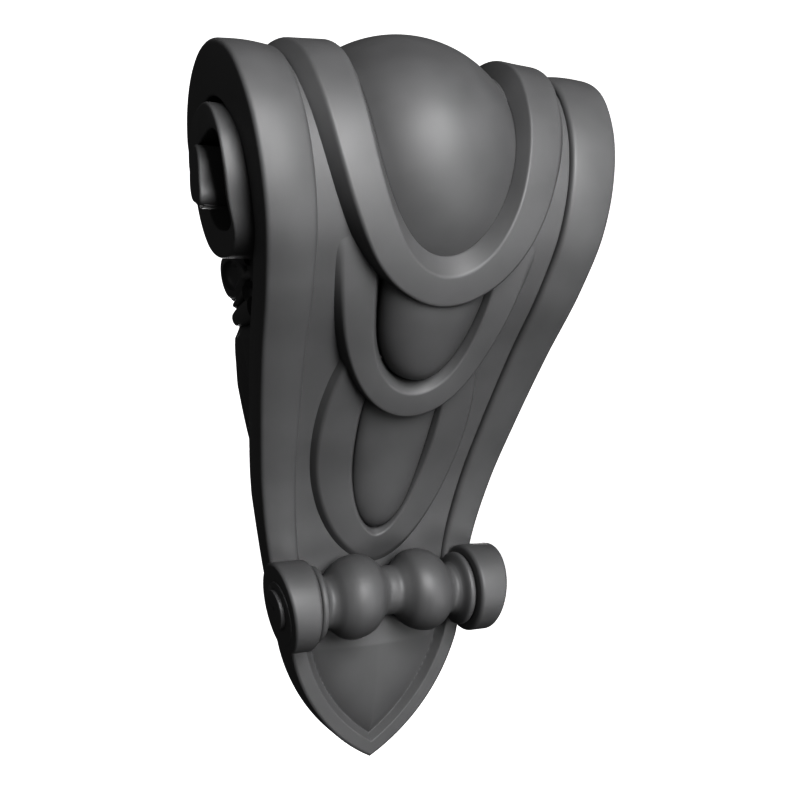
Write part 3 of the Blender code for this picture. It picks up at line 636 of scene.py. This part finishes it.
def paint_material(look):
    """Dark satin paint on carved wood. Recesses and creases get painted shade: where little of the space
    round a point is open, the colour darkens towards a near-black. Soft blotches and fine brush grain change
    the colour, the gloss and the surface."""
    paint = bpy.data.materials.new("dark_satin_paint")
    paint.use_nodes = True
    nodes, links = paint.node_tree.nodes, paint.node_tree.links
    shader = nodes["Principled BSDF"]
    shader.inputs["Specular IOR Level"].default_value = look.specular
    shader.inputs["Metallic"].default_value = 0.0
    place = nodes.new("ShaderNodeTexCoord")

    def noise(scale, detail, stretch=(1.0, 1.0, 1.0)):
        turn = nodes.new("ShaderNodeMapping")
        turn.inputs["Scale"].default_value = stretch
        links.new(place.outputs["Object"], turn.inputs["Vector"])
        texture = nodes.new("ShaderNodeTexNoise")
        texture.inputs["Scale"].default_value = scale
        texture.inputs["Detail"].default_value = detail
        links.new(turn.outputs["Vector"], texture.inputs["Vector"])
        return texture.outputs["Fac"]

    def spread(value, low, high):
        change = nodes.new("ShaderNodeMapRange")
        change.inputs["From Min"].default_value = 0.3
        change.inputs["From Max"].default_value = 0.7
        change.inputs["To Min"].default_value = low
        change.inputs["To Max"].default_value = high
        links.new(value, change.inputs["Value"])
        return change.outputs["Result"]

    blotch = noise(55.0, 3.0)
    grain = noise(900.0, 4.0, (1.0, 1.0, 0.16))
    fine = noise(2600.0, 2.0)

    # Painted shade: ambient occlusion over a short distance darkens the colour towards the shade colour in
    # creases, recesses and between parts
    shade_occlusion = nodes.new("ShaderNodeAmbientOcclusion")
    shade_occlusion.inputs["Distance"].default_value = 2.5 * MM
    shade_occlusion.samples = 8
    shade_ramp = nodes.new("ShaderNodeMapRange")
    shade_ramp.inputs["From Min"].default_value = 0.2
    shade_ramp.inputs["From Max"].default_value = 0.6
    links.new(shade_occlusion.outputs["AO"], shade_ramp.inputs["Value"])
    painted_shade_mix = nodes.new("ShaderNodeMix")
    painted_shade_mix.data_type = "RGBA"
    painted_shade_mix.inputs["A"].default_value = (*look.recess_shade, 1.0)
    painted_shade_mix.inputs["B"].default_value = (*look.colour, 1.0)
    links.new(shade_ramp.outputs["Result"], painted_shade_mix.inputs["Factor"])
    vary = nodes.new("ShaderNodeHueSaturation")
    links.new(spread(blotch, 0.94, 1.06), vary.inputs["Value"])
    links.new(painted_shade_mix.outputs["Result"], vary.inputs["Color"])
    links.new(vary.outputs["Color"], shader.inputs["Base Color"])
    links.new(spread(blotch, look.roughness - 0.03, look.roughness + 0.04), shader.inputs["Roughness"])

    relief = nodes.new("ShaderNodeMix")
    relief.data_type = "FLOAT"
    relief.inputs["Factor"].default_value = 0.35
    links.new(grain, relief.inputs["A"])
    links.new(fine, relief.inputs["B"])
    bump = nodes.new("ShaderNodeBump")
    bump.inputs["Strength"].default_value = 0.25
    bump.inputs["Distance"].default_value = 0.05 * MM
    links.new(relief.outputs["Result"], bump.inputs["Height"])
    links.new(bump.outputs["Normal"], shader.inputs["Normal"])
    return paint


def finish_piece(piece):
    """Paints a piece, sets it on the bracket and lets it stand for the plain solid."""
    paint = bpy.data.materials.get("dark_satin_paint") or paint_material(bpy.context.scene.bracket_paint)
    piece.data.materials.append(paint)
    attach(piece, "root")
    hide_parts(NODE)


class CarvingOperator:
    """What the operators share: they read the sizes and finish the pieces that they make."""
    bl_options = {"REGISTER", "UNDO"}

    def execute(self, context):
        scene = context.scene
        body = in_mm(scene.bracket_body)
        sizes = {"body": body, "bed": bed_line(body), "scroll": in_mm(scene.bracket_scroll),
                 "front": in_mm(scene.bracket_front)}
        pieces = self.make(sizes)
        if not all(len(piece.data.polygons) for piece in pieces):
            raise RuntimeError(self.bl_label + " made an empty piece")
        for piece in pieces:
            finish_piece(piece)
        return {"FINISHED"}


class BRACKET_OT_body(CarvingOperator, bpy.types.Operator):
    """Build the body with its bed and its flat back"""
    bl_idname = "bracket.body"
    bl_label = "Body"

    def make(self, sizes):
        return [lay_mesh("body", [body_grid(sizes["bed"], sizes["body"])])]


class BRACKET_OT_leaves(CarvingOperator, bpy.types.Operator):
    """Build the carved leaves on the sides"""
    bl_idname = "bracket.leaves"
    bl_label = "Side leaves"

    def make(self, sizes):
        return [lay_mesh("leaf_" + "rl"[side < 0], [leaf_grid(sizes["bed"], sizes["body"], side)])
                for side in SIDES]


class BRACKET_OT_rims(CarvingOperator, bpy.types.Operator):
    """Build the two raised borders that run up the front and over the top"""
    bl_idname = "bracket.rims"
    bl_label = "Borders"

    def make(self, sizes):
        return [lay_mesh("border_" + "rl"[side < 0], [rim_grid(sizes["bed"], sizes["body"], side)])
                for side in SIDES]


class BRACKET_OT_scrolls(CarvingOperator, bpy.types.Operator):
    """Build the side scrolls with the boss in their middle"""
    bl_idname = "bracket.scrolls"
    bl_label = "Side scrolls"

    def make(self, sizes):
        return [lay_mesh("scroll_" + "rl"[side < 0], [scroll_grid(sizes["scroll"], side),
                                                      eye_grid(sizes["scroll"], side)]) for side in SIDES]


class BRACKET_OT_loops(CarvingOperator, bpy.types.Operator):
    """Build the three loops that hang one below the other on the bed"""
    bl_idname = "bracket.loops"
    bl_label = "Loops"

    def make(self, sizes):
        return [lay_mesh("loop_" + name, [loop_grid(sizes["bed"], name)]) for name in LOOPS]


class BRACKET_OT_egg(CarvingOperator, bpy.types.Operator):
    """Build the egg and the two drops inside the loops"""
    bl_idname = "bracket.egg"
    bl_label = "Egg and drops"

    def make(self, sizes):
        drops = [lay_mesh("drop_" + name, [drop_grid(sizes["bed"], name)]) for name in DROPS]
        return [lay_mesh("egg", [egg_grid(sizes["front"])])] + drops


class BRACKET_OT_roll(CarvingOperator, bpy.types.Operator):
    """Build the turned roll with the small scrolls on its ends"""
    bl_idname = "bracket.roll"
    bl_label = "Roll"

    def make(self, sizes):
        grids = [roll_grid(sizes["front"])] + [roll_curl_grid(sizes["front"], side) for side in SIDES]
        return [lay_mesh("roll", grids)]


class BRACKET_OT_pendant(CarvingOperator, bpy.types.Operator):
    """Build the pointed pendant with its pillowed field"""
    bl_idname = "bracket.pendant"
    bl_label = "Pendant"

    def make(self, sizes):
        return [lay_mesh("pendant", [pendant_grid(sizes["front"])])]


def add_area_light(name, power, size, azimuth, elevation, distance):
    """A soft light, so wide and so high, that looks at the bracket's middle from an azimuth right of the
    front."""
    a, e = math.radians(azimuth), math.radians(elevation)
    away = Vector((math.sin(a) * math.cos(e), -math.cos(a) * math.cos(e), math.sin(e)))
    data = bpy.data.lights.new(name, "AREA")
    data.energy = power
    data.shape = "RECTANGLE"
    data.size, data.size_y = size
    light = bpy.data.objects.new(name, data)
    bpy.context.scene.collection.objects.link(light)
    light.location = away * distance + Vector((0.0, -0.04, 0.0))
    light.rotation_euler = (-away).to_track_quat("-Z", "Y").to_euler()
    return light


def backdrop_grid():
    """The studio floor and backdrop as one turned surface: a flat floor that bends up into a dome. Its
    profile is a line, a quarter round and an arc, turned about the upright axis."""
    floor, wide, bend = -600.0, 4200.0, 1500.0
    t = np.linspace(0.0, math.pi / 2, 24)
    flat = np.stack([np.linspace(1.0, wide - bend, 12), np.full(12, floor)], -1)
    rise = np.stack([wide - bend + bend * np.sin(t), floor + bend * (1 - np.cos(t))], -1)[1:]
    dome = np.stack([wide * np.cos(t), floor + bend + wide * np.sin(t) * 0.8], -1)[1:-1]
    line = np.concatenate([flat, rise, dome, [[1.0, floor + bend + wide * 0.8]]])
    around = np.linspace(0.0, 2 * math.pi, 96, endpoint=False)
    x, y = line[:, :1] * np.cos(around), line[:, :1] * np.sin(around)
    return np.stack([x, y, line[:, 1:] + 0 * around], -1)


class BRACKET_OT_stage(bpy.types.Operator):
    """Lay the pale floor and backdrop and set the lights and the camera"""
    bl_idname = "bracket.stage"
    bl_label = "Studio"
    bl_options = {"REGISTER", "UNDO"}

    def execute(self, context):
        studio = context.scene.bracket_studio
        grid = backdrop_grid()
        mesh = bpy.data.meshes.new("studio_floor")
        mesh.from_pydata((grid.reshape(-1, 3) * MM).tolist(), [], grid_faces(*grid.shape[:2]).tolist())
        mesh.shade_smooth()
        floor = bpy.data.objects.new("studio_floor", mesh)
        context.scene.collection.objects.link(floor)
        pale = bpy.data.materials.new("pale_floor")
        pale.use_nodes = True
        shader = pale.node_tree.nodes["Principled BSDF"]
        shader.inputs["Base Color"].default_value = (0.9, 0.9, 0.9, 1.0)
        shader.inputs["Roughness"].default_value = 0.9
        shader.inputs["Emission Color"].default_value = (1.0, 1.0, 1.0, 1.0)
        shader.inputs["Emission Strength"].default_value = 1.0
        mesh.materials.append(pale)
        floor.visible_diffuse = False
        floor.visible_glossy = False
        floor.visible_shadow = False

        world = bpy.data.worlds.new("studio_room")
        world.use_nodes = True
        room = world.node_tree.nodes["Background"]
        room.inputs["Color"].default_value = (1.0, 1.0, 1.0, 1.0)
        room.inputs["Strength"].default_value = studio.ambient
        context.scene.world = world
        context.scene.view_settings.view_transform = "Standard"
        context.scene.view_settings.gamma = studio.contrast

        add_area_light("key_light", studio.key_power, (0.4, 0.8), 1.0, 26.0, 1.2)
        add_area_light("low_light", studio.low_power, (0.5, 0.5), 30.0, -18.0, 1.2)
        add_area_light("right_light", studio.right_power, (0.4, 0.4), 50.0, 20.0, 1.2)
        add_area_light("left_light", studio.left_power, (0.4, 0.4), -80.0, 22.0, 1.2)
        add_area_light("back_light", studio.back_power, (0.6, 0.6), 160.0, -5.0, 1.2)

        a, p = studio.azimuth, studio.pitch
        look = Vector((math.sin(a) * math.cos(p), math.cos(a) * math.cos(p), -math.sin(p)))
        data = bpy.data.cameras.new("camera")
        data.lens = studio.focal
        data.sensor_width = 36.0
        camera = bpy.data.objects.new("camera", data)
        context.scene.collection.objects.link(camera)
        camera.location = Vector((0.0, -38.2 * MM, 5.85 * MM)) - look * studio.distance
        camera.rotation_euler = look.to_track_quat("-Z", "Y").to_euler()
        context.scene.camera = camera
        return {"FINISHED"}


STEPS = [BRACKET_OT_body, BRACKET_OT_leaves, BRACKET_OT_rims, BRACKET_OT_scrolls, BRACKET_OT_loops,
         BRACKET_OT_egg, BRACKET_OT_roll, BRACKET_OT_pendant, BRACKET_OT_stage]
GROUPS = {"bracket_body": BracketBody, "bracket_scroll": BracketScroll, "bracket_front": BracketFront,
          "bracket_paint": BracketPaint, "bracket_studio": BracketStudio}


class BRACKET_PT_sidebar(bpy.types.Panel):
    """The bracket's sizes and its building steps"""
    bl_idname = "BRACKET_PT_sidebar"
    bl_label = "Carved bracket"
    bl_space_type = "VIEW_3D"
    bl_region_type = "UI"
    bl_category = "Bracket"

    def draw(self, context):
        for name, group in GROUPS.items():
            box = self.layout.box()
            box.label(text=group.__doc__)
            for prop in group.__annotations__:
                box.prop(getattr(context.scene, name), prop)
        for step in STEPS:
            self.layout.operator(step.bl_idname)


def register():
    for group in GROUPS.values():
        bpy.utils.register_class(group)
    for step in STEPS:
        bpy.utils.register_class(step)
    bpy.utils.register_class(BRACKET_PT_sidebar)
    for name, group in GROUPS.items():
        setattr(bpy.types.Scene, name, PointerProperty(type=group))


def unregister():
    for name in GROUPS:
        delattr(bpy.types.Scene, name)
    bpy.utils.unregister_class(BRACKET_PT_sidebar)
    for step in reversed(STEPS):
        bpy.utils.unregister_class(step)
    for group in reversed(list(GROUPS.values())):
        bpy.utils.unregister_class(group)


def main():
    register()
    for step in STEPS:
        name = step.bl_idname.split(".")[1]
        getattr(bpy.ops.bracket, name)()


if __name__ == "__main__":
    main()
